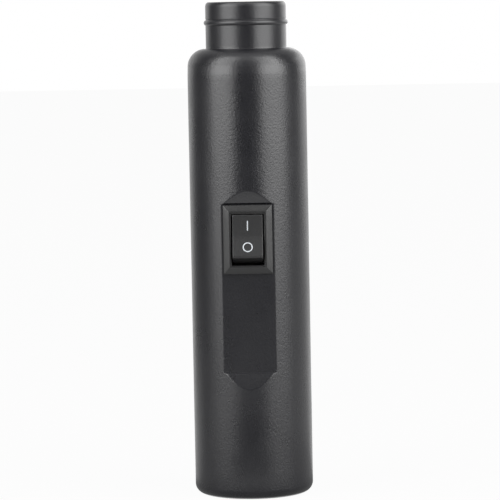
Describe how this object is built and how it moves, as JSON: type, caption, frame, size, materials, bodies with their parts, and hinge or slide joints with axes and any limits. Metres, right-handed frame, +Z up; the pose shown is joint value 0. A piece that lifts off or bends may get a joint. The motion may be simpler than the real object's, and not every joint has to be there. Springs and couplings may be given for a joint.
{
  "type": "egg candling lamp",
  "caption": "Hand-held egg candling lamp: black bottle-shaped body with a rocker switch in a flat front recess and an LED behind a clear window in its round neck.",
  "frame": {"origin": "centre of the ring that the lamp stands on", "axes": "+Z up along the body and out of the neck's mouth, switch on the -Y side"},
  "size_m": [0.0366, 0.0394, 0.152],
  "materials": {
    "body_plastic": "black moulded plastic with a fine leathery grain",
    "switch_plastic": "black moulded plastic, satin",
    "rocker_plastic": "black moulded plastic, satin",
    "brass": "stamped",
    "spring_steel": "bright wire",
    "contact_silver": "bright",
    "connector_sleeve": "soft vinyl",
    "nickel": "nickel plated",
    "carrier_plastic": "black moulded plastic",
    "aluminium": "turned",
    "board_white": "white solder mask",
    "led_white": "moulded",
    "led_silicone": "clear over yellow phosphor",
    "reflector_mirror": "vacuum metallised",
    "window_clear": "clear acrylic",
    "wire_red": "vinyl insulation",
    "wire_black": "vinyl insulation",
    "resistor_ceramic": "lacquered",
    "solder": "bright"
  },
  "bodies": {
    "lamp": {"body_shell": "body_plastic", "switch_frame": "switch_plastic", "fixed_contact": "contact_silver", "common_terminal": "brass", "load_terminal": "brass", "spade_connectors": "connector_sleeve", "dc_jack_barrel": "switch_plastic", "dc_jack_pin": "nickel", "dc_jack_leaf": "nickel", "dc_jack_nut": "nickel", "lamp_carrier": "carrier_plastic", "heat_sink": "aluminium", "led_board": "board_white", "led_package": "led_white", "led_dome": "led_silicone", "reflector": "reflector_mirror", "lens_window": "window_clear", "lens_ring": "carrier_plastic", "feed_wire": "wire_red", "lamp_wire": "wire_red", "return_wire_upper": "wire_black", "return_wire_lower": "wire_black", "series_resistor": "resistor_ceramic", "resistor_sleeve": "wire_black", "solder_joints": "solder"},
    "rocker": {"switch_rocker": "rocker_plastic", "rocker_plunger": "brass", "rocker_spring": "spring_steel"},
    "see_saw": {"contact_bridge": "brass", "bridge_contact": "contact_silver"}
  },
  "joints": [
    {"name": "rocker_tilt", "type": "hinge", "parent": "lamp", "child": "rocker", "pos_m": [0, -0.01344, 0.08], "axis": [1, 0, 0], "range_deg": [0, 21.5]},
    {"name": "see_saw_tilt", "type": "hinge", "parent": "lamp", "child": "see_saw", "pos_m": [0, -0.00914, 0.08], "axis": [1, 0, 0], "range_deg": [-12, 0]}
  ],
  "couplings": [
    {"joint": "see_saw_tilt", "follows": "rocker_tilt", "ratio": -0.558}
  ]
}
